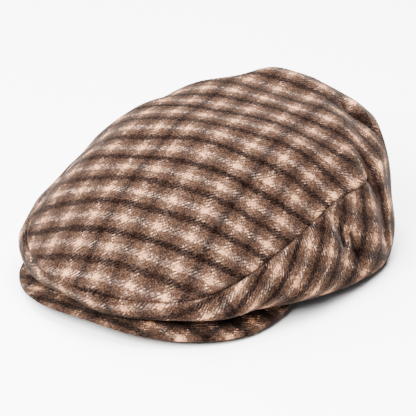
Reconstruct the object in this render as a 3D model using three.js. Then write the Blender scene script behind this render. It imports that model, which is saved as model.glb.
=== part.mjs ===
// A soft flat cap lying on a surface: a crown top, a side band and a peak, each one closed cloth solid.
// Millimetres, +Z up. The peak looks along -Y, +X is the wearer's left, and the cap rests on z = 0.
// A turn is the angle round the head in degrees: 0 at the peak's middle, 90 at the wearer's left, 180 behind.

import * as THREE from 'three';

// Driving sizes
const clothWall = 2.4;
const sewnGap = 0.3;
const levelRimWidth = 3;
const peakThickness = 3.6;
const peakInner = 83;
const peakEndTurn = 66;
const peakRoll = 1.2;
const headToMiddle = 9;
const apex = { forward: 7.6, up: 86.2 };
const flatTopAlong = 0.02;
const foldFadeAlong = 0.3;
const levelRim = { fromTurn: 90, toTurn: 115 };

// How finely the walls are drawn
const turnsRound = 84;
const topRings = 14;
const bandRings = 10;
const peakStations = 36;
const peakRings = 7;
const peakNoseSteps = 4;

// The crown, the same on both sides. seamOut and seamUp place the seam round the top panel, and fullness
// says how long the panel stays flat before it turns down to that seam. bellyOut and bellyUp pull the side
// band out, and rimOut and rimUp place its lower rim.
const crownRows = [
  { turn: 0, seamOut: 123.9, seamUp: 26.2, fullness: 1.9, bellyOut: 118.5, bellyUp: 7.3, rimOut: 109.8, rimUp: 12.6 },
  { turn: 30, seamOut: 115.9, seamUp: 27.1, fullness: 2.1, bellyOut: 126.8, bellyUp: 11.2, rimOut: 99.4, rimUp: 11 },
  { turn: 60, seamOut: 91.5, seamUp: 41.9, fullness: 2.7, bellyOut: 119, bellyUp: 22.2, rimOut: 92.1, rimUp: 7.8 },
  { turn: 90, seamOut: 83.9, seamUp: 55.1, fullness: 3, bellyOut: 108.6, bellyUp: 9.2, rimOut: 91, rimUp: 3.7 },
  { turn: 120, seamOut: 94.4, seamUp: 55.6, fullness: 3.2, bellyOut: 110.3, bellyUp: 15.7, rimOut: 101.7, rimUp: 0 },
  { turn: 150, seamOut: 104.4, seamUp: 68.6, fullness: 4.5, bellyOut: 116.9, bellyUp: 27.4, rimOut: 99.2, rimUp: 0 },
  { turn: 180, seamOut: 93.2, seamUp: 75.3, fullness: 4.2, bellyOut: 115.6, bellyUp: 39.2, rimOut: 99.2, rimUp: 0 },
];

// The folds that show: each follows a line on the cloth and fades over its spread. A lift below 0 is a dent.
const folds = [
  { name: 'dip behind the crown', from: [-58, 78, 68], to: [-46, 80, 72], spread: 18, lift: -12.6 },
  { name: 'hump over the back', from: [-22, 86, 78], to: [2, 84, 80], spread: 24, lift: 7.2 },
  { name: 'valley by the left corner', from: [40, 74, 80], to: [66, 60, 72], spread: 9, lift: -2.6 },
  { name: 'crease down the left side', from: [88, -5, 48], to: [96, 1, 26], spread: 6, lift: -2.4 },
  { name: 'long fold at the back left', from: [80, 41, 62], to: [94, 39, 20], spread: 6, lift: -3 },
];

// The peak, the same on both sides but for peakRoll, by which the wearer's left lies higher and the right
// lower. edgeOut and edgeUp place the underside of its outer edge, and innerUp the underside at the head
// opening.
const peakRows = [
  { turn: 0, edgeOut: 124.3, edgeUp: 7.2, innerUp: 8.4 },
  { turn: 15, edgeOut: 125.2, edgeUp: 5.6, innerUp: 9.2 },
  { turn: 30, edgeOut: 120.8, edgeUp: 2.4, innerUp: 9.8 },
  { turn: 45, edgeOut: 112, edgeUp: 0.9, innerUp: 7.4 },
  { turn: 60, edgeOut: 95.3, edgeUp: 1.8, innerUp: 5 },
  { turn: 75, edgeOut: 79.5, edgeUp: 3, innerUp: 3.5 },
];

// A column's value at any turn: a smooth curve through the rows, mirrored past the first and the last one.
function columnAt(rows, column, turn) {
  const lastRow = rows.length - 1;
  const place = Math.min(Math.abs(turn) / rows[1].turn, lastRow);
  const low = Math.min(Math.floor(place), lastRow - 1);
  const part = place - low;
  const value = (row) => rows[lastRow - Math.abs(lastRow - Math.abs(row))][column];
  const [before, here, next, after] = [value(low - 1), value(low), value(low + 1), value(low + 2)];
  const bend = 2 * before - 5 * here + 4 * next - after;
  const twist = 3 * here - before - 3 * next + after;
  return here + 0.5 * ((next - before) * part + bend * part ** 2 + twist * part ** 3);
}

// The point at a distance out from the head's axis and a height up
function placed(turn, out, up) {
  const angle = THREE.MathUtils.degToRad(turn);
  return new THREE.Vector3(out * Math.sin(angle), -out * Math.cos(angle), up);
}

// The smooth crown before its folds. along is 0 at the top of the crown, 1 at the seam and 2 at the rim.
function crownPoint(turn, along) {
  const seamOut = columnAt(crownRows, 'seamOut', turn);
  const seamUp = columnAt(crownRows, 'seamUp', turn);
  if (along <= 1) {
    const fall = (apex.up - seamUp) * along ** columnAt(crownRows, 'fullness', turn);
    const point = placed(turn, seamOut, 0).multiplyScalar(along);
    return point.add(new THREE.Vector3(0, -apex.forward * (1 - along), apex.up - fall));
  }
  const down = along - 1;
  const ends = [(1 - down) ** 2, 2 * down * (1 - down), down ** 2];
  const rimUp = Math.max(columnAt(crownRows, 'rimUp', turn), 0);
  const out = [seamOut, columnAt(crownRows, 'bellyOut', turn), columnAt(crownRows, 'rimOut', turn)];
  const up = [seamUp, columnAt(crownRows, 'bellyUp', turn), rimUp];
  const blend = (values) => values.reduce((sum, value, index) => sum + value * ends[index], 0);
  return placed(turn, blend(out), blend(up));
}

// The direction square to the cloth, away from the head
function outward(turn, along) {
  if (along < flatTopAlong) {
    return new THREE.Vector3(0, 0, 1);
  }
  const turnStep = 0.5;
  const alongStep = 0.01;
  const round = crownPoint(turn + turnStep, along).sub(crownPoint(turn - turnStep, along));
  const down = crownPoint(turn, Math.min(along + alongStep, 2)).sub(crownPoint(turn, along - alongStep));
  return down.cross(round).normalize();
}

// How far the folds lift the cloth at a point, fading out at the rim that stands on the surface
function foldLift(point, along) {
  const fade = Math.min((2 - along) / foldFadeAlong, 1);
  const closest = new THREE.Vector3();
  return folds.reduce((sum, fold) => {
    const line = new THREE.Line3(new THREE.Vector3(...fold.from), new THREE.Vector3(...fold.to));
    line.closestPointToPoint(point, true, closest);
    return sum + fade * fold.lift * Math.exp(-((closest.distanceTo(point) / fold.spread) ** 2));
  }, 0);
}

// A point in the cloth, depth below its outer face
function clothPoint(turn, along, depth, squareTo = along) {
  const point = crownPoint(turn, along);
  const lift = foldLift(point, along) - depth;
  return point.addScaledVector(outward(turn, squareTo), lift);
}

// The inner corner of the rim, cut level where the rim stands on the surface and square to the cloth in front
function rimInside(turn) {
  const square = clothPoint(turn, 2, clothWall);
  const level = clothPoint(turn, 2, 0).sub(placed(turn, levelRimWidth, 0));
  return square.lerp(level, THREE.MathUtils.smoothstep(Math.abs(turn), levelRim.fromTurn, levelRim.toTurn));
}

// How far along a sewn edge stands from the seam, for its half of the gap
function seamStep(turn, side) {
  const probe = 0.01;
  const reach = crownPoint(turn, 1).distanceTo(crownPoint(turn, 1 + side * probe)) / probe;
  return side * sewnGap / 2 / reach;
}

const allTurns = Array.from({ length: turnsRound }, (_, index) => -180 + (360 * index) / turnsRound);

function ring(pointAt) {
  return allTurns.map(pointAt);
}

// A closed solid from rings of points, each joined to the next. A ring of one point closes an end, and rings
// with no such ends are joined round from the last to the first.
function solidFromRings(rings) {
  const positions = rings.flat().flatMap((point) => [point.x, point.y, point.z]);
  const starts = rings.map((_, index) => rings.slice(0, index).reduce((sum, item) => sum + item.length, 0));
  const faces = [];
  const pairs = rings[0].length === 1 ? rings.length - 1 : rings.length;
  for (let index = 0; index < pairs; index += 1) {
    const upper = rings[index];
    const lower = rings[(index + 1) % rings.length];
    const upperStart = starts[index];
    const lowerStart = starts[(index + 1) % rings.length];
    const count = Math.max(upper.length, lower.length);
    for (let step = 0; step < count; step += 1) {
      const next = (step + 1) % count;
      if (lower.length > 1) {
        faces.push(upperStart + (upper.length > 1 ? step : 0), lowerStart + step, lowerStart + next);
      }
      if (upper.length > 1) {
        faces.push(upperStart + step, lowerStart + (lower.length > 1 ? next : 0), upperStart + next);
      }
    }
  }
  const geometry = new THREE.BufferGeometry();
  geometry.setAttribute('position', new THREE.Float32BufferAttribute(positions, 3));
  geometry.setIndex(faces);
  geometry.computeVertexNormals();
  return geometry;
}

// The top panel: one sheet of cloth from the top of the crown to the seam all round
function crownTopGeometry() {
  const sheet = (depth) => {
    const rings = [[clothPoint(0, 0, depth)]];
    for (let index = 1; index < topRings; index += 1) {
      rings.push(ring((turn) => clothPoint(turn, index / topRings, depth)));
    }
    rings.push(ring((turn) => clothPoint(turn, 1 + seamStep(turn, -1), depth, 1)));
    return rings;
  };
  return solidFromRings([...sheet(0), ...sheet(clothWall).reverse()]);
}

// The side band: one strip from the seam down to the rim, sewn into a ring
function sideBandGeometry() {
  const sheet = (depth) => {
    const rings = [ring((turn) => clothPoint(turn, 1 + seamStep(turn, 1), depth, 1))];
    for (let index = 1; index < bandRings; index += 1) {
      rings.push(ring((turn) => clothPoint(turn, 1 + index / bandRings, depth)));
    }
    return rings;
  };
  const rimOutside = ring((turn) => clothPoint(turn, 2, 0));
  return solidFromRings([...sheet(0), rimOutside, ring(rimInside), ...sheet(clothWall).reverse()]);
}

// One cut through the peak: along its top from the head opening, round its outer edge and back below
function peakSection(turn) {
  const half = peakThickness / 2;
  const lie = peakRoll * Math.sin(THREE.MathUtils.degToRad(turn));
  const raised = (column) => columnAt(peakRows, column, turn) + half + lie;
  const edge = { out: columnAt(peakRows, 'edgeOut', turn) - half, up: raised('edgeUp') };
  const inner = { out: peakInner, up: raised('innerUp') };
  const steps = Array.from({ length: peakRings + 1 }, (_, index) => index / peakRings);
  const across = (share, side) => placed(
    turn,
    THREE.MathUtils.lerp(inner.out, edge.out, share),
    THREE.MathUtils.lerp(inner.up, edge.up, share) + side * half,
  );
  const nose = Array.from({ length: peakNoseSteps - 1 }, (_, index) => {
    const angle = Math.PI * (0.5 - (index + 1) / peakNoseSteps);
    return placed(turn, edge.out + half * Math.cos(angle), edge.up + half * Math.sin(angle));
  });
  const top = steps.map((share) => across(share, 1));
  const below = steps.map((share) => across(1 - share, -1));
  return [...top, ...nose, ...below];
}

// The peak: its cuts joined from the wearer's left to the right, with a closed end at each side
function peakGeometry() {
  const sections = Array.from({ length: peakStations + 1 }, (_, index) => {
    return peakSection(peakEndTurn * (1 - (2 * index) / peakStations));
  });
  const middle = (section) => {
    const sum = section.reduce((total, point) => total.add(point), new THREE.Vector3());
    return [sum.divideScalar(section.length)];
  };
  return solidFromRings([middle(sections[0]), ...sections, middle(sections[peakStations])]);
}

function clothPiece(name, geometry, color) {
  const material = new THREE.MeshStandardMaterial({ color, roughness: 0.95, metalness: 0 });
  const piece = new THREE.Mesh(geometry, material);
  piece.name = name;
  piece.position.y = headToMiddle;
  return piece;
}

const cap = new THREE.Group();
cap.add(clothPiece('crown_top', crownTopGeometry(), '#8d7263'));
cap.add(clothPiece('side_band', sideBandGeometry(), '#866b5d'));
cap.add(clothPiece('peak', peakGeometry(), '#6f564a'));

export default cap;
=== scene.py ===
"""A soft flat cap of brushed wool check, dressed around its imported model.

The cap lies on a pale studio floor by itself. Its crown top, side band and peak are worked out here as fine
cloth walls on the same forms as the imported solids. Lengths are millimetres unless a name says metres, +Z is
up, the peak looks along -Y and +X is the wearer's left. A turn is the angle round the head in degrees, 0 at
the peak's middle and 180 behind. A place along the crown is 0 at its top, 1 at the seam round the top panel
and 2 at the rim.
"""

import logging
import math
from dataclasses import dataclass
from enum import Enum

import bpy
import numpy as np
from mathutils import Matrix, Vector


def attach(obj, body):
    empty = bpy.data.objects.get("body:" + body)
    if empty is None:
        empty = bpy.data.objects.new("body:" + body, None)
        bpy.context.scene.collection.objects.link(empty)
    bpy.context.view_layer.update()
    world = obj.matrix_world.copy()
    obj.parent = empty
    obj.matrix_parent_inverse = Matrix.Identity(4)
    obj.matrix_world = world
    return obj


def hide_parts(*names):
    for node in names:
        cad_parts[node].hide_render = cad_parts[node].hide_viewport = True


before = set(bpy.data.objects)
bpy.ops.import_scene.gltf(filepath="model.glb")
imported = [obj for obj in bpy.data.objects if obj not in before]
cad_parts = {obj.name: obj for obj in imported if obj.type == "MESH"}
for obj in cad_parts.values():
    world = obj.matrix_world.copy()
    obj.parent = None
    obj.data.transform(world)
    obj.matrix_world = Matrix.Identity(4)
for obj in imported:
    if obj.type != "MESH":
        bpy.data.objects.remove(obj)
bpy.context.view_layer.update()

Array = np.ndarray
Point = tuple[float, float, float]
Colour = tuple[float, float, float]
Socket = bpy.types.NodeSocket

MM = 0.001
HEAD_TO_MIDDLE = 9.0
CLOTH_WALL = 2.4
SEWN_GAP = 0.3
CHECK_SIZE = 20.0
CLOTH_MAP = "cloth"
# The mesh layer that carries the painted shading of the cloth's colour.
PAINTED_SHADING_LAYER = "shade"
CREASE_TIP = 0.2
# Painted shading in the cloth's colour: painted shade in sharp creases and along the seam's groove, a painted
# highlight on ridges.
CREASE_WIDTH, CREASE_PAINTED_SHADE = 1.3, 0.5
RIDGE_WIDTH, RIDGE_PAINTED_HIGHLIGHT = 2.2, 0.22
SEAM_WIDTH, SEAM_PAINTED_SHADE = 0.7, 0.28
# Painted shade that darkens the side band's last stretch down to its rim, next to the floor.
RIM_PAINTED_SHADE_START, RIM_PAINTED_SHADE = 1.84, 0.3
PAINTED_SHADING_LIMITS = (-0.7, 0.3)
BODY = "root"

log = logging.getLogger("flat_cap")


def add_object(name: str, data: bpy.types.ID) -> bpy.types.Object:
    """A new object in the scene, with its mesh, camera or light."""
    made = bpy.data.objects.new(name, data)
    bpy.context.scene.collection.objects.link(made)
    return made


def smooth_step(low: float, high: float, value: Array) -> Array:
    """0 below low, 1 above high and a smooth S between them."""
    share = np.clip((value - low) / (high - low), 0, 1)
    return share * share * (3 - 2 * share)


def placed(turn: Array, out: Array, up: Array) -> Array:
    """Points at a distance out from the head's axis and a height up, for turns in degrees."""
    angle = np.radians(turn)
    return np.stack(np.broadcast_arrays(out * np.sin(angle), -out * np.cos(angle), up), axis=-1)


def unit(vectors: Array) -> Array:
    """The vectors at length 1."""
    return vectors / np.maximum(np.linalg.norm(vectors, axis=-1, keepdims=True), 1e-9)


def way_along(rings: Array) -> Array:
    """The way along the first axis of a grid of points, from its first ring on."""
    steps = np.linalg.norm(np.diff(rings, axis=0), axis=-1)
    return np.concatenate([np.zeros((1, *rings.shape[1:-1])), np.cumsum(steps, axis=0)])


def smooth_column(values: tuple[float, ...], spacing: float, turn: Array) -> Array:
    """A column's value at any turn.

    Formula: a Catmull-Rom curve through the values, read at the turn without its sign and mirrored past the
    first and the last of them.

    Args:
        values: the column, from turn 0 on.
        spacing: the degrees between two values.
        turn: turns in degrees.

    Returns:
        A value for each turn.
    """
    column = np.array(values, dtype=float)
    last = len(column) - 1
    folded = np.abs((np.asarray(turn, dtype=float) + 180) % 360 - 180)
    place = np.minimum(folded / spacing, last)
    low = np.minimum(np.floor(place).astype(int), last - 1)
    part = place - low
    before, here, after, beyond = (column[last - np.abs(last - np.abs(low + step))] for step in (-1, 0, 1, 2))
    bend = 2 * before - 5 * here + 4 * after - beyond
    twist = 3 * here - before - 3 * after + beyond
    return here + 0.5 * ((after - before) * part + bend * part**2 + twist * part**3)


class FoldShape(Enum):
    """How a fold's height falls off beside its line."""

    ROLL = "round"
    CREASE = "sharp"


@dataclass(frozen=True)
class Fold:
    """A fold, ridge or dent that follows a line on the cloth. A lift below 0 is a dent."""

    path: tuple[Point, ...]
    spread: float
    lift: float
    shape: FoldShape = FoldShape.ROLL

    def distance(self, points: Array) -> Array:
        """How far each point is from the nearest of the line's stretches."""
        nearest = np.full(points.shape[:-1], np.inf)
        for start, end in zip(np.array(self.path[:-1]), np.array(self.path[1:])):
            stretch = end - start
            share = np.clip((points - start) @ stretch / (stretch @ stretch), 0, 1)
            spot = start + share[..., None] * stretch
            nearest = np.minimum(nearest, np.linalg.norm(points - spot, axis=-1))
        return nearest

    def height(self, points: Array) -> Array:
        """The lift at each point.

        Formula: lift * exp(-share^2) for the share distance / spread. A crease is peaked, because it takes
        sqrt(sqrt(share^2 + tip^2) - tip) for its share.
        """
        share = self.distance(points) / self.spread
        if self.shape is FoldShape.CREASE:
            share = np.sqrt(np.sqrt(share**2 + CREASE_TIP**2) - CREASE_TIP)
        return self.lift * np.exp(-(share**2))

    def shade(self, points: Array) -> Array:
        """The line's painted shade below 0 in a dent, where little light gets in, and painted highlight above 0
        on a ridge.
        """
        sharp = self.shape is FoldShape.CREASE
        width, depth = (CREASE_WIDTH, CREASE_PAINTED_SHADE) if sharp else (RIDGE_WIDTH, RIDGE_PAINTED_HIGHLIGHT)
        return math.copysign(depth, self.lift) * np.exp(-((self.distance(points) / width) ** 2))


def crease(spread: float, lift: float, *path: Point) -> Fold:
    """A sharp fold along a path."""
    return Fold(path, spread, lift, FoldShape.CREASE)


MAIN_FOLDS = (
    Fold(path=((-58, 78, 68), (-46, 80, 72)), spread=18, lift=-12.6),
    Fold(path=((-22, 86, 78), (2, 84, 80)), spread=24, lift=7.2),
    Fold(path=((40, 74, 80), (66, 60, 72)), spread=9, lift=-2.6),
    Fold(path=((88, -5, 48), (96, 1, 26)), spread=6, lift=-2.4),
    Fold(path=((80, 41, 62), (94, 39, 20)), spread=6, lift=-3),
)

FINE_FOLDS = (
    Fold(path=((87, -10, 55), (88, -10, 50), (90, -11, 44)), spread=4, lift=1.6),
    crease(2, -1.7, (89, 0, 49), (91, -1.5, 43), (93, -2, 36), (94, -2, 33)),
    Fold(path=((90, -1, 45), (92, -0.5, 39), (94, 0.2, 34), (95, 1, 29)), spread=2.4, lift=1.3),
    crease(2.4, -1.8, (93, 5.5, 36), (95, 5.4, 28), (97, 6.6, 25), (98, 7, 20)),
    crease(3, -2.6, (70, 48, 67), (76, 47.5, 63), (80, 46, 59), (84, 45, 54)),
    crease(3, -3.4, (84, 45, 54), (87, 45, 47), (90, 45, 40), (92, 46, 32), (95, 46, 17)),
    Fold(path=((80, 54, 58), (87, 52, 47), (90, 53, 34)), spread=5, lift=2.4),
    crease(4, -2.6, (34, 84, 79), (42, 77, 77), (50, 75, 75), (58, 76, 72), (64, 77.5, 68)),
    Fold(path=((35, 87, 78), (46, 85, 77), (56, 81, 75)), spread=5, lift=2),
    crease(3, -1.4, (46, 91, 74), (54, 88, 73), (60, 85, 70)),
)


@dataclass(frozen=True)
class Draw:
    """A place of the top panel where steaming has drawn the cloth along, by so many checks at its middle."""

    spot: tuple[float, float]
    spread: float
    column: float
    row: float

    def shift(self, points: Array) -> Array:
        """The columns and rows to add: the draw times exp(-(plan distance / spread)^2)."""
        away = np.linalg.norm(points[..., :2] - np.array(self.spot), axis=-1) / self.spread
        return np.exp(-(away**2))[..., None] * np.array([self.column, self.row])


TOP_DRAWS = (
    Draw(spot=(-30, -35), spread=28, column=-0.26, row=0.36),
    Draw(spot=(45, -35), spread=36, column=-0.13, row=0.26),
    Draw(spot=(-45, 10), spread=22, column=-0.34, row=0.42),
    Draw(spot=(30, 55), spread=36, column=-0.12, row=0.4),
    Draw(spot=(88, -5), spread=20, column=0.26, row=0.14),
    Draw(spot=(79, 39), spread=12, column=0, row=-0.45),
    Draw(spot=(85, 57), spread=14, column=0, row=0.5),
    Draw(spot=(69, 75), spread=12, column=0, row=0.35),
)


@dataclass(frozen=True)
class SteamedSpan:
    """A stretch of the seam that is steamed flat by a share. The wearer's right has turns below 0."""

    share: float
    turns: tuple[float, float, float, float]

    def at(self, turn: Array) -> Array:
        """The share at each turn, coming up between the first two turns and going between the last two."""
        start, full, fade, end = self.turns
        return self.share * smooth_step(start, full, turn) * (1 - smooth_step(fade, end, turn))


STEAMED_SPANS = (
    SteamedSpan(share=1, turns=(112, 117, 152, 168)),
    SteamedSpan(share=0.4, turns=(35, 60, 100, 112)),
    SteamedSpan(share=0.6, turns=(-132, -118, -60, -46)),
)


class ColumnForm:
    """A form given by columns of values that stand turn_step degrees apart, from turn 0 on."""

    turn_step: float

    def column(self, name: str, turn: Array) -> Array:
        """One of the columns at any turn."""
        return smooth_column(getattr(self, name), self.turn_step, turn)


@dataclass(frozen=True)
class CrownForm(ColumnForm):
    """The crown's smooth form, the same on both sides, as columns for the turns 0, 30 and so on to 180.

    seam_out and seam_up place the seam round the top panel. fullness says how long the panel stays flat
    before it turns down to that seam. belly_out and belly_up pull the side band out, rim_out and rim_up place
    its rim. The folds fade out over the last rim_fade of the way to the rim. column_lay and row_lay lay the
    check on the top panel. The seam and pucker fields shape the seam, and the swell fields the soft waves.
    """

    seam_out: tuple[float, ...] = (123.9, 115.9, 91.5, 83.9, 94.4, 104.4, 93.2)
    seam_up: tuple[float, ...] = (26.2, 27.1, 41.9, 55.1, 55.6, 68.6, 75.3)
    fullness: tuple[float, ...] = (1.9, 2.1, 2.7, 3.0, 3.2, 4.5, 4.2)
    belly_out: tuple[float, ...] = (118.5, 126.8, 119.0, 108.6, 110.3, 116.9, 115.6)
    belly_up: tuple[float, ...] = (7.3, 11.2, 22.2, 9.2, 15.7, 27.4, 39.2)
    rim_out: tuple[float, ...] = (109.8, 99.4, 92.1, 91.0, 101.7, 99.2, 99.2)
    rim_up: tuple[float, ...] = (12.6, 11.0, 7.8, 3.7, 0.0, 0.0, 0.0)
    turn_step: float = 30.0
    apex_forward: float = 7.6
    apex_up: float = 86.2
    rim_fade: float = 0.3
    column_lay: tuple[float, ...] = (1.31, 4.91, 0.67, 0.0, 0.16, 0.16, -0.32)
    row_lay: tuple[float, ...] = (6.48, -0.85, 5.04, -0.48, 0.0, -0.1, 0.2)
    seam_depth: float = 0.8
    seam_ridge: float = 0.5
    ridge_away: float = 3.0
    ridge_width: float = 1.8
    stitch_length: float = 2.6
    steamed_flat: float = 0.9
    pucker_height: float = 0.26
    pucker_length: float = 9.0
    pucker_reach: float = 7.0
    swell_height: float = 0.25
    swell_lengths: tuple[float, float] = (28.0, 70.0)
    swell_waves: int = 8
    swell_seed: int = 11

    def point(self, turn: Array, along: Array) -> Array:
        """The smooth crown before its folds.

        Formula: on the top panel, the seam's plan point times along, moved forward with the apex by what is
        left of along, at the height apex - (apex - seam height) * along ^ fullness. On the band, a quadratic
        Bezier curve in distance out and height, from the seam over the belly to the rim.

        Args:
            turn: turns in degrees.
            along: places along the crown, 0 to 2, broadcast against turn.

        Returns:
            The points, in millimetres.
        """
        turn, along = np.broadcast_arrays(np.asarray(turn, float), np.asarray(along, float))
        seam_out, seam_up = self.column("seam_out", turn), self.column("seam_up", turn)
        inner = np.clip(along, 0, 1)
        top = placed(turn, seam_out, 0.0) * inner[..., None]
        top[..., 1] -= self.apex_forward * (1 - inner)
        top[..., 2] = self.apex_up - (self.apex_up - seam_up) * inner ** self.column("fullness", turn)
        down = np.clip(along - 1, 0, 1)
        first, middle, last = (1 - down) ** 2, 2 * down * (1 - down), down**2
        out = first * seam_out + middle * self.column("belly_out", turn) + last * self.column("rim_out", turn)
        rim_up = np.maximum(self.column("rim_up", turn), 0)
        up = first * seam_up + middle * self.column("belly_up", turn) + last * rim_up
        return np.where((along <= 1)[..., None], top, placed(turn, out, up))

    def outward(self, turn: Array, along: Array) -> Array:
        """The direction square to the cloth, away from the head.

        Formula: the cross product of the steps down the crown and round it, each a central difference of the
        smooth crown, and straight up next to the top, where the step round has no length.
        """
        turn, along = np.broadcast_arrays(np.asarray(turn, float), np.asarray(along, float))
        turn_step, along_step, flat_top = 0.5, 0.01, 0.02
        reach = np.maximum(along, flat_top)
        around = self.point(turn + turn_step, reach) - self.point(turn - turn_step, reach)
        down = self.point(turn, np.minimum(reach + along_step, 2)) - self.point(turn, reach - along_step)
        square = unit(np.cross(down, around))
        return np.where((along < flat_top)[..., None], np.array([0.0, 0.0, 1.0]), square)

    def surface(self, turn: Array, along: Array) -> tuple[Array, Array, Array]:
        """The smooth crown, the direction square to it, and the crown with its main folds."""
        smooth, square = self.point(turn, along), self.outward(turn, along)
        return smooth, square, smooth + square * self.main_lift(smooth, along)[..., None]

    def top_cloth(self, turn: Array, way: Array, main: Array) -> Array:
        """Where points lie on the top panel's cloth, in checks.

        Formula: a point's way along the cloth from the crown's top, laid out flat in its own direction, gives
        (right, back) in decimetres. Columns and rows are sums of 1, right, back, right^2, right * back,
        back^2 and right * back^2, each times its number in column_lay or row_lay, and of the draws. The last
        four and the draws are how steaming has drawn the cloth over the head.

        Args:
            turn: turns of the columns of main.
            way: rings by steps, the way from the crown's top in millimetres.
            main: rings by steps by 3, the surface with its main folds.

        Returns:
            Rings by steps by 2: the column and the row of the check.
        """
        seam = placed(turn, self.column("seam_out", turn), 0.0)
        lean = np.arctan2(seam[:, 0], -seam[:, 1] - self.apex_forward)
        right, back = way * np.sin(lean) / 100, -way * np.cos(lean) / 100
        terms = [np.ones_like(way), right, back, right**2, right * back, back**2, right * back**2]
        lay = np.array([self.column_lay, self.row_lay])
        return np.stack(terms, axis=-1) @ lay.T + sum(draw.shift(main) for draw in TOP_DRAWS)

    def main_lift(self, points: Array, along: Array) -> Array:
        """How far the main folds lift the cloth, fading out at the rim that stands on the surface."""
        fade = np.minimum((2 - along) / self.rim_fade, 1)
        return fade * sum(fold.height(points) for fold in MAIN_FOLDS)

    def fine_lift(self, points: Array, along: Array) -> Array:
        """How far the sharp creases and the soft swell of the cloth lift it, fading out at the rim.

        Formula: the fine folds, plus a sum of sine waves of 28 to 70 mm across the points, each with its own
        seeded direction and start.
        """
        dice = np.random.default_rng(self.swell_seed)
        lift = sum(fold.height(points) for fold in FINE_FOLDS)
        for length in np.geomspace(*self.swell_lengths, self.swell_waves):
            way = unit(dice.normal(size=3))
            angle = points @ way * 2 * np.pi / length + dice.uniform(0, 2 * np.pi)
            lift = lift + self.swell_height * np.sin(angle)
        return smooth_step(0, self.rim_fade, 2 - along) * lift

    def seam_lift(self, turn: Array, from_seam: Array) -> Array:
        """How the cloth rolls down into the seam and puckers beside it.

        Formula: ridge * exp(-((d - away) / width)^2) - depth * exp(-d^2) for d, the distance from the seam,
        plus waves that fade with exp(-d / reach): sin(a + 1.3 sin(s / 11)) + 0.6 sin(a / 1.7 + 2) for s, the
        way round the seam, and the angle a = 2 pi s / length. Steaming makes all of it flatter.

        Args:
            turn: turns in degrees.
            from_seam: the distance from the seam in millimetres.

        Returns:
            The lift in millimetres.
        """
        round_seam = self.way_round_seam(turn)
        angle = 2 * np.pi * round_seam / self.pucker_length
        wave = np.sin(angle + 1.3 * np.sin(round_seam / 11)) + 0.6 * np.sin(angle / 1.7 + 2)
        ridge = self.seam_ridge * np.exp(-(((from_seam - self.ridge_away) / self.ridge_width) ** 2))
        fade = np.exp(-from_seam / self.pucker_reach) * smooth_step(0, self.ridge_away, from_seam)
        lift = ridge - self.seam_depth * np.exp(-(from_seam**2)) + self.pucker_height * wave * fade
        return lift * self.unsteamed(turn)

    def way_round_seam(self, turn: Array) -> Array:
        """The way round the seam from the middle of the front, in millimetres."""
        return self.column("seam_out", turn) * np.radians(turn)

    def unsteamed(self, turn: Array) -> Array:
        """The share of the seam's relief that steaming has left."""
        return 1 - self.steamed_flat * sum(span.at(turn) for span in STEAMED_SPANS)

    def shade(self, turn: Array, points: Array, from_seam: Array) -> Array:
        """How the fine folds and the seam are painted into the colour as thin lines of shade and highlight.

        Formula: the fine folds' painted shading, less the seam's painted shade times exp(-(d / width)^2), for
        d, the distance from the seam, with small gaps where its stitches hold.

        Args:
            turn: turns in degrees.
            points: rings by steps by 3, the smooth crown.
            from_seam: the distance from the seam in millimetres.

        Returns:
            Rings by steps, within the painted shading's limits.
        """
        stitches = 0.75 + 0.25 * np.sin(2 * np.pi * self.way_round_seam(turn) / self.stitch_length)
        seam = SEAM_PAINTED_SHADE * stitches * np.exp(-((from_seam / SEAM_WIDTH) ** 2)) * self.unsteamed(turn)
        return np.clip(sum(fold.shade(points) for fold in FINE_FOLDS) - seam, *PAINTED_SHADING_LIMITS)


@dataclass(frozen=True)
class ClothSheet:
    """One face of a cloth wall: a grid of points with its cloth coordinates in checks.

    The first axis of the arrays runs along the piece and the second one round it, with the closing cut at
    both ends. Shade is painted shading: how much the cloth's colour is darkened in its creases, along the
    seam and at the rim, and lightened on its ridges.
    """

    points: Array
    coordinates: Array
    shade: Array


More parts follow.
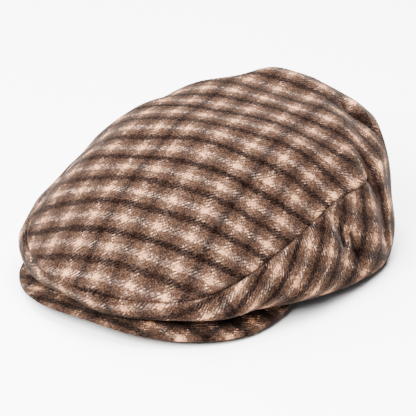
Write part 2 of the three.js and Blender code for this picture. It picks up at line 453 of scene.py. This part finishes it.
@dataclass
class ClothPiece:
    """A sewn piece of cloth that can be put into the scene. Sub-classes work out its sheets."""

    name: str
    node: str
    slot: str

    def mesh_from_rings(self, points: Array, coordinates: Array, poles: bool) -> bpy.types.Mesh:
        """Joins neighbouring rings of points into a mesh by one quad for each step round.

        Args:
            points: rings by steps round by 3, in millimetres.
            coordinates: rings by steps round plus one by 2, in checks.
            poles: whether the first and the last ring are each one point, with triangles round it. If not,
                the last ring is joined to the first one.

        Returns:
            The mesh, in metres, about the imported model's origin.
        """
        rings, steps = points.shape[:2]
        step = np.arange(steps)
        after = (step + 1) % steps
        ring = np.arange(rings - 1 if poles else rings)[:, None]
        below = (ring + 1) % rings
        corners = [(ring, step), (below, step), (below, after), (ring, after)]
        map_corners = [(ring, step), (below, step), (below, step + 1), (ring, step + 1)]
        faces = np.stack([row * steps + column + np.zeros_like(ring) for row, column in corners], axis=-1)
        spots = np.stack([coordinates[row, column] for row, column in map_corners], axis=2)
        vertices = points.reshape(-1, 3)
        if poles:
            first_pole, last_pole = steps - 1, (rings - 1) * steps
            fans = np.concatenate([faces[0][:, [0, 1, 2]], faces[-1][:, [0, 1, 3]]])
            fans[:steps, 0], fans[steps:, 1] = first_pole, last_pole
            fan_spots = np.concatenate([spots[0][:, [0, 1, 2]], spots[-1][:, [0, 1, 3]]])
            vertices = vertices[first_pole : last_pole + 1]
            face_list = (fans - first_pole).tolist() + (faces[1:-1].reshape(-1, 4) - first_pole).tolist()
            corner_map = np.concatenate([fan_spots.reshape(-1, 2), spots[1:-1].reshape(-1, 2)])
        else:
            face_list = faces.reshape(-1, 4).tolist()
            corner_map = spots.reshape(-1, 2)
        mesh = bpy.data.meshes.new(self.name)
        middle = np.array([0, HEAD_TO_MIDDLE, 0])
        mesh.from_pydata(((vertices + middle) * MM).tolist(), [], face_list)
        layer = mesh.uv_layers.new(name=CLOTH_MAP)
        layer.uv.foreach_set("vector", corner_map.astype(np.float32).ravel())
        mesh.shade_smooth()
        mesh.validate()
        return mesh

    def store_painted_shading(self, mesh: bpy.types.Mesh, shade: Array) -> None:
        """Stores the painted shading on the mesh's first vertices, which are the outer face's, and 0 on the
        others.
        """
        values = np.zeros(len(mesh.vertices), dtype=np.float32)
        values[: len(shade)] = shade
        mesh.attributes.new(PAINTED_SHADING_LAYER, "FLOAT", "POINT").data.foreach_set("value", values)

    def show(self, mesh: bpy.types.Mesh, material: bpy.types.Material) -> bpy.types.Object:
        """Puts the mesh into the scene in place of the piece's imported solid, and returns the new object."""
        piece = add_object(self.name, mesh)
        mesh.materials.append(material)
        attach(piece, BODY)
        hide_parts(self.node)
        log.info("%s: %d faces", self.name, len(mesh.polygons))
        return piece


@dataclass
class CrownTop(ClothPiece):
    """The top panel: one sheet of cloth from the top of the crown to the seam all round."""

    form: CrownForm = CrownForm()
    turns: int = 360
    rings: int = 120
    inner_rings: int = 30
    crowding: float = 1.6

    def places(self, count: int) -> Array:
        """Places along from the top to the seam, closer to each other near the seam.

        Formula: 1 - (1 - t)^crowding for even t, so that the last rings stand about 0.3 mm apart.
        """
        return 1 - (1 - np.linspace(0, 1, count + 1)) ** self.crowding

    def sheet(self, count: int, depth: float) -> ClothSheet:
        """One face of the wall in count rings, at a depth in millimetres below the outer face."""
        turn = np.linspace(-180, 180, self.turns + 1)
        along = self.places(count)[:, None]
        smooth, square, main = self.form.surface(turn, along)
        way = way_along(main)
        from_seam = way[-1] - way + SEWN_GAP / 2
        lift = self.form.fine_lift(smooth, along) + self.form.seam_lift(turn, from_seam) - depth
        points = main + square * lift[..., None]
        points[0] = points[0].mean(axis=0)
        down = unit(main[-1] - main[-2])
        points[-1] -= down * SEWN_GAP / 2
        shade = self.form.shade(turn, smooth, from_seam)
        return ClothSheet(points, self.form.top_cloth(turn, way, main), shade)

    def build(self, material: bpy.types.Material) -> bpy.types.Object:
        """Builds the panel in its cloth and returns the piece."""
        outer, inner = self.sheet(self.rings, 0), self.sheet(self.inner_rings, CLOTH_WALL)
        points = np.concatenate([outer.points, inner.points[::-1]])[:, :-1]
        coordinates = np.concatenate([outer.coordinates, inner.coordinates[::-1]])
        mesh = self.mesh_from_rings(points, coordinates, poles=True)
        self.store_painted_shading(mesh, outer.shade[:, :-1].ravel()[self.turns - 1 :])
        return self.show(mesh, material)


@dataclass
class SideBand(ClothPiece):
    """The side band: one strip from the seam down to the rim, cut as a bow and sewn into a ring behind."""

    form: CrownForm = CrownForm()
    turns: int = 720
    rings: int = 76
    inner_rings: int = 24
    rim_steps: int = 6
    bow_radius: float = 190.0
    column_start: float = 4.7
    row_start: float = 166.3
    row_size: float = 16.9
    belly_place: float = 1.42
    drawn_turns: tuple[float, float] = (80.0, 98.0)
    drawn_checks: tuple[float, float] = (0.3, 0.15)
    long_fold_turn: float = 116.6
    closing_depth: float = 1.3
    closing_width: float = 1.4

    def places(self, count: int) -> Array:
        """Places along from the seam to the rim, closer to each other near both.

        Formula: 1 + t^1.4 * (1 - 0.35 t) / 0.65 for even t.
        """
        even = np.linspace(0, 1, count + 1)
        return 1 + even**1.4 * (1 - 0.35 * even) / 0.65

    def cloth_coordinates(self, turn: Array, main: Array) -> Array:
        """Where each point lies on the cloth, in checks.

        Formula: the strip was cut as a bow. The way round the belly divided by the bow's radius is the angle
        from its middle, and the radius less the way down is the distance from its centre. Columns and rows
        are that flat place, drawn along by drawn_checks behind the side's crease. Behind the long fold the
        check carries on from the top panel.

        Args:
            turn: turns of the columns of main.
            main: rings by steps by 3, the surface with its main folds.

        Returns:
            Rings by steps by 2: the column and the row of the check.
        """
        way_round = way_along(self.form.point(turn, self.belly_place))
        way_round = way_round - np.interp(0, turn, way_round)
        way_down = way_along(main)
        angle = way_round / self.bow_radius
        across = (self.bow_radius - way_down) * np.sin(angle)
        back = (self.bow_radius - way_down) * np.cos(angle)
        drawn = smooth_step(*self.drawn_turns, np.abs(turn))
        column = (across - self.column_start) / CHECK_SIZE + self.drawn_checks[0] * drawn
        row = (back - self.row_start) / self.row_size + self.drawn_checks[1] * drawn
        _, _, top = self.form.surface(turn, np.linspace(0, 1, self.rings)[:, None])
        carried_on = self.form.top_cloth(turn, way_along(top)[-1] + way_down, main)
        behind = (turn > self.long_fold_turn)[:, None]
        return np.where(behind, carried_on, np.stack([column, row], axis=-1))

    def sheet(self, count: int, depth: float) -> ClothSheet:
        """One face of the wall in count rings, at a depth in millimetres below the outer face."""
        turn = np.linspace(-180, 180, self.turns + 1)
        along = self.places(count)[:, None]
        smooth, square, main = self.form.surface(turn, along)
        from_seam = way_along(main) + SEWN_GAP / 2
        lift = self.form.fine_lift(smooth, along) + self.form.seam_lift(turn, from_seam) - depth
        lift = lift + self.closing_seam(turn, along)
        points = main + square * lift[..., None]
        points[0] += unit(main[1] - main[0]) * SEWN_GAP / 2
        points[..., 2] = np.maximum(points[..., 2], 0)
        # Painted shading from the folds and the seam, fading out near the rim, then a painted shade that
        # darkens the band's last stretch down to the rim.
        shade = self.form.shade(turn, smooth, from_seam) * smooth_step(0.1, self.form.rim_fade, 2 - along)
        shade = shade - RIM_PAINTED_SHADE * smooth_step(RIM_PAINTED_SHADE_START, 2, along)
        return ClothSheet(points, self.cloth_coordinates(turn, main), shade)

    def closing_seam(self, turn: Array, along: Array) -> Array:
        """The groove of the seam that closes the band behind, -depth * exp(-(distance / width)^2)."""
        distance = np.radians(180 - np.abs(turn)) * self.form.rim_out[-1]
        groove = -self.closing_depth * np.exp(-((distance / self.closing_width) ** 2))
        return groove * smooth_step(0, 0.1, 2 - along)

    def rim(self, outer: Array, inner: Array) -> Array:
        """The turned edge between the two faces' last rings.

        Formula: half a circle from ring to ring, bowed onward down the cloth and held on or above the surface
        that the cap lies on.

        Args:
            outer: the outer face's rings.
            inner: the inner face's last ring.

        Returns:
            The rings between the two faces.
        """
        half_turn = np.linspace(0, np.pi, self.rim_steps + 2)[1:-1, None, None]
        onward = unit(outer[-1] - outer[-2])
        half = np.linalg.norm(outer[-1] - inner, axis=-1, keepdims=True) / 2
        middle = (outer[-1] + inner) / 2
        bow = middle + (outer[-1] - inner) / 2 * np.cos(half_turn) + onward * half * np.sin(half_turn)
        bow[..., 2] = np.maximum(bow[..., 2], 0)
        return bow

    def build(self, material: bpy.types.Material) -> bpy.types.Object:
        """Builds the band in its cloth and returns the piece."""
        outer, inner = self.sheet(self.rings, 0), self.sheet(self.inner_rings, CLOTH_WALL)
        rim = self.rim(outer.points, inner.points[-1])
        rim_map = np.repeat(outer.coordinates[-1:], self.rim_steps, axis=0)
        points = np.concatenate([outer.points, rim, inner.points[::-1]])[:, :-1]
        coordinates = np.concatenate([outer.coordinates, rim_map, inner.coordinates[::-1]])
        mesh = self.mesh_from_rings(points, coordinates, poles=False)
        # The turned rim carries on the last ring's painted shade.
        shade = np.concatenate([outer.shade, np.repeat(outer.shade[-1:], self.rim_steps, axis=0)])
        self.store_painted_shading(mesh, shade[:, :-1].ravel())
        return self.show(mesh, material)


@dataclass
class Peak(ClothPiece, ColumnForm):
    """The stiff peak, covered with cloth above and below, as columns for the turns 0, 15 and so on to 75.

    edge_out and edge_up place the underside of its outer edge, inner_up the underside at the head opening.
    """

    edge_out: tuple[float, ...] = (124.3, 125.2, 120.8, 112.0, 95.3, 79.5)
    edge_up: tuple[float, ...] = (7.2, 5.6, 2.4, 0.9, 1.8, 3.0)
    inner_up: tuple[float, ...] = (8.4, 9.2, 9.8, 7.4, 5.0, 3.5)
    turn_step: float = 15.0
    inner_out: float = 83.0
    end_turn: float = 66.0
    thickness: float = 3.6
    edge_thickness: float = 2.8
    roll: float = 1.2
    stations: int = 240
    rings: int = 36
    nose_steps: int = 10
    groove_depth: float = 0.4
    groove_reach: float = 0.3
    lay_from: tuple[float, float] = (56.0, -109.0)

    def section(self, turn: Array) -> Array:
        """The peak's cuts.

        Formula: along the top from the head opening to the outer edge, half a circle round that edge, and
        back below, half the thickness from a line that the columns place. The peak thins towards its edge
        with the cube of the way, and roll times the sine of the turn lifts its line. The two cloths meet at
        the edge in a groove, depth * exp(-(bend / reach)^2).

        Args:
            turn: turns of the cuts.

        Returns:
            Cuts by points by 3.
        """
        half, edge_half = self.thickness / 2, self.edge_thickness / 2
        lie = self.roll * np.sin(np.radians(turn)) + half
        edge_out = self.column("edge_out", turn)[:, None] - edge_half
        edge_up, inner_up = self.column("edge_up", turn) + lie, self.column("inner_up", turn) + lie
        share = np.linspace(0, 1, self.rings + 1)
        out = self.inner_out + (edge_out - self.inner_out) * share
        up = inner_up[:, None] + (edge_up - inner_up)[:, None] * share
        bend = np.linspace(np.pi / 2, -np.pi / 2, self.nose_steps + 2)[1:-1]
        radius = edge_half - self.groove_depth * np.exp(-((bend / self.groove_reach) ** 2))
        nose_out = edge_out + radius * np.cos(bend)
        nose_up = edge_up[:, None] + radius * np.sin(bend)
        all_out = np.concatenate([out, nose_out, out[:, ::-1]], axis=1)
        wall = half + (edge_half - half) * share**3
        all_up = np.concatenate([up + wall, nose_up, (up - wall)[:, ::-1]], axis=1)
        return placed(turn[:, None], all_out, all_up)

    def cloth_coordinates(self, turn: Array, cuts: Array) -> Array:
        """Formula: a point's way along its cut from the head opening, folded back at the edge's middle, is laid
        out flat in the cut's direction. Columns and rows are that flat place, counted from lay_from.

        Args:
            turn: turns of the cuts.
            cuts: cuts by points by 3.

        Returns:
            Cuts by points by 2: the column and the row of the check.
        """
        steps = np.linalg.norm(np.diff(cuts, axis=1), axis=-1)
        way = np.concatenate([np.zeros((len(cuts), 1)), np.cumsum(steps, axis=1)], axis=1)
        folded = np.minimum(way, way[:, -1:] - way)
        flat = placed(turn[:, None], self.inner_out + folded, 0.0)
        return (flat[..., :2] - np.array(self.lay_from)) / CHECK_SIZE

    def build(self, material: bpy.types.Material) -> bpy.types.Object:
        """Builds the peak in its cloth and returns the piece."""
        turn = np.linspace(self.end_turn, -self.end_turn, self.stations + 1)
        cuts = self.section(turn)
        ends = cuts[[0, -1]].mean(axis=1, keepdims=True) + np.zeros((1, cuts.shape[1], 1))
        points = np.concatenate([ends[:1], cuts, ends[1:]])
        on_cuts = self.cloth_coordinates(turn, cuts)
        coordinates = np.concatenate([on_cuts[:1], on_cuts, on_cuts[-1:]])
        coordinates = np.concatenate([coordinates, coordinates[:, :1]], axis=1)
        mesh = self.mesh_from_rings(points, coordinates, poles=True)
        return self.show(mesh, material)


@dataclass(frozen=True)
class Grain:
    """A grain of the wool: noise with so many spots a check, whose range low..high becomes start..end."""

    scale: float
    low: float
    high: float
    detail: float = 0.0
    start: float = -1.0
    end: float = 1.0


@dataclass(frozen=True)
class WoolCheck:
    """The finish: a brushed wool twill check in cream, warm brown and black-brown.

    Columns run over the cap from front to back and rows across it. Both are cream, then brown, with a dark
    line between two checks, and every third line is warmer. A profile holds the share of the light that the
    threads give back over one check. A spot's share is its column's times its row's, and the tones turn it
    into a colour. drift and fray move the lines about by a noise's scale, detail and reach in checks. relief
    says how much the twill, the hair and the specks stand up.
    """

    name: str
    column_lines: tuple[float, ...] = (0.55, 0.625, 0.665)
    row_lines: tuple[float, ...] = (0.44, 0.385, 0.41)
    column_field: float = 0.82
    row_field: float = 0.78
    check_span: float = 3.0
    tone_span: float = 1.2
    tones: tuple[tuple[float, Colour], ...] = (
        (0.1, (0.0011, 0.0005, 0.0003)), (0.215, (0.0025, 0.0009, 0.0006)),
        (0.281, (0.0057, 0.0026, 0.0017)), (0.39, (0.0102, 0.0050, 0.0034)),
        (0.496, (0.0139, 0.0073, 0.0049)), (0.64, (0.0270, 0.0145, 0.0097)),
        (0.776, (0.0475, 0.0250, 0.0155)), (0.89, (0.1220, 0.0605, 0.0340)),
        (1.0, (0.4250, 0.2020, 0.1010)), (1.2, (0.4900, 0.2460, 0.1300)),
    )
    drift: tuple[float, float, float] = (2.2, 1.0, 0.05)
    fray: tuple[float, float, float] = (12.0, 0.0, 0.16)
    hair: Grain = Grain(scale=1.0, low=0.3, high=0.7)
    hair_across: float = 11.0
    hair_along: float = 5.0
    speck: Grain = Grain(scale=23.0, low=0.32, high=0.68)
    fleck: Grain = Grain(scale=9.0, low=0.34, high=0.66)
    fleck_share: float = 0.22
    patch: Grain = Grain(scale=4.0, low=0.35, high=0.65, detail=1.0, start=0.35, end=1.5)
    twill_lines: float = 7.5
    twill_unevenness: float = 0.11
    twill_strength: float = 0.54
    twill_hair: float = 0.4
    calm_from: float = 1.03
    calm_share: float = 1.22
    calm_hair: float = 0.12
    calm_speck: float = 0.4
    greying: tuple[float, float] = (0.8, 0.36)
    relief: tuple[float, float, float] = (0.14, 0.24, 0.25)
    relief_strength: float = 0.6
    relief_metres: float = 0.0005
    surface: tuple[tuple[str, object], ...] = (
        ("Roughness", 0.95), ("Specular IOR Level", 0.01), ("Sheen Weight", 0.065), ("Sheen Roughness", 0.27),
        ("Sheen Tint", (1.0, 0.86, 0.77, 1.0)),
    )

    def profile(self, lines: tuple[float, ...], field_share: float) -> list[tuple[float, float]]:
        """The stops of a ramp over as many checks as there are lines.

        Args:
            lines: the share at the middle of each check's dark line.
            field_share: the share of the brown between cream and line.

        Returns:
            Positions from 0 to 1 with their shares.
        """
        stops = [(0.0, 1.0)]
        for check, line in enumerate(lines):
            shape = (
                (0.07, 0.955), (0.16, field_share + 0.02), (0.27, field_share - 0.005),
                (0.35, field_share - 0.045), (0.45, line + 0.02), (0.54, line), (0.67, field_share - 0.04),
                (0.84, field_share + 0.03), (0.925, 0.978),
            )
            stops += [((check + spot) / len(lines), share) for spot, share in shape]
        return stops + [(1.0, 1.0)]

    def build(self) -> bpy.types.Material:
        """Makes the material, which reads the piece's cloth map and its painted shading."""
        material = bpy.data.materials.new(self.name)
        material.use_nodes = True
        graph = NodeGraph(material.node_tree)
        place = graph.node("ShaderNodeUVMap", uv_map=CLOTH_MAP).outputs["UV"]
        drift, fray = graph.wander(place, *self.drift), graph.wander(place, *self.fray)
        moved = graph.vector_math("ADD", place, graph.vector_math("ADD", drift, fray))
        column, row = graph.split(moved)[:2]
        warp = self.thread_share(graph, column, self.profile(self.column_lines, self.column_field))
        weft = self.thread_share(graph, row, self.profile(self.row_lines, self.row_field))
        plain_column, plain_row = graph.split(place)[:2]
        diagonal = graph.less(plain_column, plain_row)
        across = graph.times(diagonal, self.hair_across)
        along = graph.times(graph.plus(plain_column, plain_row), self.hair_along)
        hair = graph.grain(graph.node("ShaderNodeCombineXYZ", across, along).outputs[0], self.hair)
        speck = graph.grain(place, self.speck)
        line = graph.plus(graph.times(diagonal, self.twill_lines), graph.times(speck, self.twill_unevenness))
        wave = graph.map_range(graph.math("PINGPONG", line, 0.5), 0.1, 0.4, -1.0, 1.0)
        speck = graph.plus(speck, graph.times(graph.grain(place, self.fleck), self.fleck_share))
        patchy_wave = graph.times(wave, graph.grain(place, self.patch))
        cloth = self.woven(graph, warp, weft, patchy_wave, hair, speck)
        tones = [(share / self.tone_span, colour) for share, colour in self.tones]
        colour = graph.ramp(graph.math("DIVIDE", cloth, self.tone_span), tones, "LINEAR")
        grey = graph.node("ShaderNodeHueSaturation")
        graph.link(self.greyness(graph, warp, weft), grey.inputs["Saturation"])
        graph.link(colour, grey.inputs["Color"])
        shader = graph.shader(dict(self.surface))
        graph.link(grey.outputs["Color"], shader.inputs["Base Color"])
        graph.link(self.bump(graph, wave, hair, speck), shader.inputs["Normal"])
        return material

    def bump(self, graph: "NodeGraph", wave: object, hair: object, speck: object) -> Socket:
        """The small relief of the twill lines, the hair and the specks, as a normal."""
        wave_share, hair_share, speck_share = self.relief
        height = graph.plus(graph.times(wave, wave_share), graph.times(hair, hair_share))
        height = graph.plus(height, graph.times(speck, speck_share))
        bump = graph.node("ShaderNodeBump", self.relief_strength, self.relief_metres)
        graph.link(height, bump.inputs["Height"])
        return bump.outputs["Normal"]

    def thread_share(self, graph: "NodeGraph", place: object, stops: list[tuple[float, float]]) -> object:
        """A profile read along a column or row, over and over."""
        return graph.level(graph.math("FRACT", graph.math("DIVIDE", place, self.check_span)), stops)

    def woven(
        self, graph: "NodeGraph", warp: object, weft: object, wave: object, hair: object, speck: object
    ) -> object:
        """The share that a spot gives back.

        Formula: m * (1 + twill_strength * |warp - weft| * (wave + twill_hair * hair) + calm_share *
        (calm_from - m) * (calm_hair * hair + calm_speck * speck)) for m, warp times weft, times 1 plus the
        piece's painted shading, which darkens creases, the seam and the rim and lightens ridges. So the twill
        shows where a light and a dark thread cross, and the cream stays calm.

        Args:
            graph: the material's nodes.
            warp, weft: the shares of the column's and the row's threads.
            wave, hair, speck: the twill and the grains, about 0.

        Returns:
            The share, about 0.1 in the darkest lines and 1.2 on the lightest cream.
        """
        mean = graph.times(warp, weft)
        contrast = graph.math("ABSOLUTE", graph.less(warp, weft))
        lines = graph.plus(wave, graph.times(hair, self.twill_hair))
        lines = graph.times(lines, graph.times(contrast, self.twill_strength))
        loose = graph.plus(graph.times(hair, self.calm_hair), graph.times(speck, self.calm_speck))
        calm = graph.times(graph.less(self.calm_from, mean), self.calm_share)
        swing = graph.plus(graph.plus(lines, graph.times(loose, calm)), 1.0)
        # The piece's painted shading: painted shade in creases, along the seam and at the band's rim, painted
        # highlight on ridges.
        shade = graph.node("ShaderNodeAttribute", attribute_name=PAINTED_SHADING_LAYER).outputs["Fac"]
        return graph.times(graph.times(mean, swing), graph.plus(shade, 1.0))

    def greyness(self, graph: "NodeGraph", warp: object, weft: object) -> object:
        """How much of its colour a spot keeps, less where charcoal threads cross light ones.

        Formula: 1 less the greying times weft - warp and warp - weft, each only where it is above 0.
        """
        across = graph.math("MAXIMUM", graph.less(weft, warp), 0.0)
        along = graph.math("MAXIMUM", graph.less(warp, weft), 0.0)
        across, along = graph.times(across, self.greying[0]), graph.times(along, self.greying[1])
        return graph.less(1.0, graph.plus(across, along))


class NodeGraph:
    """A material's nodes, made and joined by short calls."""

    def __init__(self, tree: bpy.types.NodeTree) -> None:
        """Starts on a material's tree, cleared."""
        self.tree = tree
        self.tree.nodes.clear()

    def node(self, kind: str, *sources: object, **settings: object) -> bpy.types.Node:
        """A new node with some of its settings, and with the sources on its first inputs."""
        made = self.tree.nodes.new(kind)
        for key, value in settings.items():
            setattr(made, key, value)
        for source, target in zip(sources, made.inputs):
            self.link(source, target)
        return made

    def link(self, source: object, target: Socket) -> None:
        """Joins a socket to an input, or sets the input to a plain value."""
        if isinstance(source, Socket):
            self.tree.links.new(source, target)
        else:
            target.default_value = source

    def shader(self, values: dict[str, object]) -> bpy.types.Node:
        """The surface shader with its plain values, joined to the material's output."""
        made = self.node("ShaderNodeBsdfPrincipled")
        for name, value in values.items():
            made.inputs[name].default_value = value
        self.link(made.outputs["BSDF"], self.node("ShaderNodeOutputMaterial").inputs["Surface"])
        return made

    def math(self, operation: str, first: object, second: object = 0.0) -> Socket:
        """A sum, product or other function of one or two values."""
        return self.node("ShaderNodeMath", first, second, operation=operation).outputs[0]

    def plus(self, first: object, second: object) -> Socket:
        """The sum of two values."""
        return self.math("ADD", first, second)

    def times(self, first: object, second: object) -> Socket:
        """The product of two values."""
        return self.math("MULTIPLY", first, second)

    def less(self, first: object, second: object) -> Socket:
        """The first value less the second."""
        return self.math("SUBTRACT", first, second)

    def vector_math(self, operation: str, first: object, second: object) -> Socket:
        """A function of two vectors."""
        return self.node("ShaderNodeVectorMath", first, second, operation=operation).outputs["Vector"]

    def split(self, vector: object) -> tuple[Socket, ...]:
        """A vector's three values."""
        return tuple(self.node("ShaderNodeSeparateXYZ", vector).outputs)

    def noise_node(self, place: object, scale: float, detail: float) -> bpy.types.Node:
        """A noise node at a place, whose fourth dimension stays at 0."""
        return self.node("ShaderNodeTexNoise", place, 0.0, scale, detail)

    def wander(self, place: object, scale: float, detail: float, reach: float) -> Socket:
        """A noise as a vector about 0, times a reach."""
        noise = self.noise_node(place, scale, detail).outputs["Color"]
        return self.vector_math("MULTIPLY", self.vector_math("SUBTRACT", noise, (0.5,) * 3), (reach,) * 3)

    def grain(self, place: object, grain: Grain) -> Socket:
        """A grain's value at a place."""
        noise = self.noise_node(place, grain.scale, grain.detail).outputs[0]
        return self.map_range(noise, grain.low, grain.high, grain.start, grain.end)

    def map_range(self, *values: object) -> Socket:
        """A value moved smoothly from low..high to start..end, which follow it in this order."""
        return self.node("ShaderNodeMapRange", *values, interpolation_type="SMOOTHSTEP").outputs[0]

    def level(self, value: object, stops: list[tuple[float, float]]) -> Socket:
        """A lightness read off a row of stops."""
        return self.split(self.ramp(value, [(spot, (share,) * 3) for spot, share in stops], "EASE"))[0]

    def ramp(self, value: object, stops: list[tuple[float, Colour]], kind: str) -> Socket:
        """A colour read off a row of stops."""
        made = self.node("ShaderNodeValToRGB", value)
        made.color_ramp.interpolation = kind
        elements = made.color_ramp.elements
        while len(elements) < len(stops):
            elements.new(0.5)
        for element, (position, colour) in zip(elements, stops):
            element.position = position
            element.color = (*colour, 1.0)
        return made.outputs["Color"]


@dataclass(frozen=True)
class Lamp:
    """A square soft lamp that looks at the cap: where it hangs and its side in metres, its power in watts."""

    name: str
    spot: Point
    size: float
    power: float


LAMPS = (
    Lamp(name="top_light", spot=(0.1, 0.1, 1.5), size=0.9, power=114),
    Lamp(name="side_light", spot=(-0.9, 0.45, 1.15), size=0.9, power=60),
    Lamp(name="front_light", spot=(0.06, -1.05, 1.06), size=0.9, power=141),
    Lamp(name="low_light", spot=(0.3, -1.3, 0.35), size=0.5, power=1.5),
)


@dataclass(frozen=True)
class Studio:
    """The pale floor, the soft light and the camera.

    The camera looks at target, in millimetres, from distance away, at its azimuth round the head and its
    elevation in degrees. lamp_target, in metres, is what the lamps look at.
    """

    target: Point = (-3.98, 9.0, 27.49)
    azimuth: float = 35.82
    elevation: float = 24.83
    distance: float = 1400.0
    lens: float = 206.98
    sensor: float = 36.0
    view_metres: float = 20.0
    lamp_target: Point = (0.0, 0.0, 0.03)
    floor_size: float = 6000.0
    floor_drop: float = 0.3
    floor_colour: Colour = (0.93, 0.93, 0.93)
    room_strength: float = 0.18

    def camera_axes(self) -> tuple[Vector, Vector, Vector]:
        """The camera's right, up and backward directions, from its azimuth and its elevation."""
        turn, rise = math.radians(self.azimuth), math.radians(self.elevation)
        level = math.cos(rise)
        backward = Vector((math.sin(turn) * level, -math.cos(turn) * level, math.sin(rise)))
        right = Vector((math.cos(turn), math.sin(turn), 0))
        return right, backward.cross(right), backward

    def place_camera(self) -> None:
        """Makes the camera and puts it where the photograph was taken from."""
        lens = bpy.data.cameras.new("camera")
        lens.lens = self.lens
        lens.sensor_width = self.sensor
        lens.clip_end = self.view_metres
        camera = add_object("camera", lens)
        right, up, backward = self.camera_axes()
        turned = Matrix((right, up, backward)).transposed().to_4x4()
        spot = (Vector(self.target) + backward * self.distance) * MM
        camera.matrix_world = Matrix.Translation(spot) @ turned
        bpy.context.scene.camera = camera

    def lay_floor(self) -> None:
        """Makes the floor, a plain pale sheet just under the cap."""
        half, height = self.floor_size / 2 * MM, -self.floor_drop * MM
        mesh = bpy.data.meshes.new("floor")
        corners = [(-half, -half, height), (half, -half, height), (half, half, height), (-half, half, height)]
        mesh.from_pydata(corners, [], [(0, 1, 2, 3)])
        floor = add_object("floor", mesh)
        material = bpy.data.materials.new("floor_paper")
        material.use_nodes = True
        paper = {"Base Color": (*self.floor_colour, 1.0), "Roughness": 1.0, "Specular IOR Level": 0.0}
        NodeGraph(material.node_tree).shader(paper)
        mesh.materials.append(material)

    def hang(self, lamp: Lamp) -> None:
        """Puts a lamp into the scene."""
        data = bpy.data.lights.new(lamp.name, "AREA")
        data.size = lamp.size
        data.energy = lamp.power
        light = add_object(lamp.name, data)
        light.location = lamp.spot
        way = Vector(self.lamp_target) - Vector(lamp.spot)
        light.rotation_euler = way.to_track_quat("-Z", "Y").to_euler()

    def light(self) -> None:
        """Puts up the studio's soft light: a dim white room, three large lamps and a low weak one."""
        room = bpy.data.worlds.new("studio")
        room.use_nodes = True
        backdrop = room.node_tree.nodes["Background"]
        backdrop.inputs["Color"].default_value = (1.0, 1.0, 1.0, 1.0)
        backdrop.inputs["Strength"].default_value = self.room_strength
        bpy.context.scene.world = room
        for lamp in LAMPS:
            self.hang(lamp)


def main() -> None:
    """Builds the cap's pieces in order and sets up the studio around them."""
    logging.basicConfig(level=logging.INFO, format="%(name)s %(message)s")
    studio = Studio()
    studio.place_camera()
    studio.lay_floor()
    studio.light()
    wool = WoolCheck("wool_check").build()
    CrownTop("crown_top_cloth", "crown_top", "top_cloth").build(wool)
    SideBand("side_band_cloth", "side_band", "band_cloth").build(wool)
    Peak("peak_cloth", "peak", "peak_cloth").build(wool)
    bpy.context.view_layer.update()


if __name__ == "__main__":
    main()
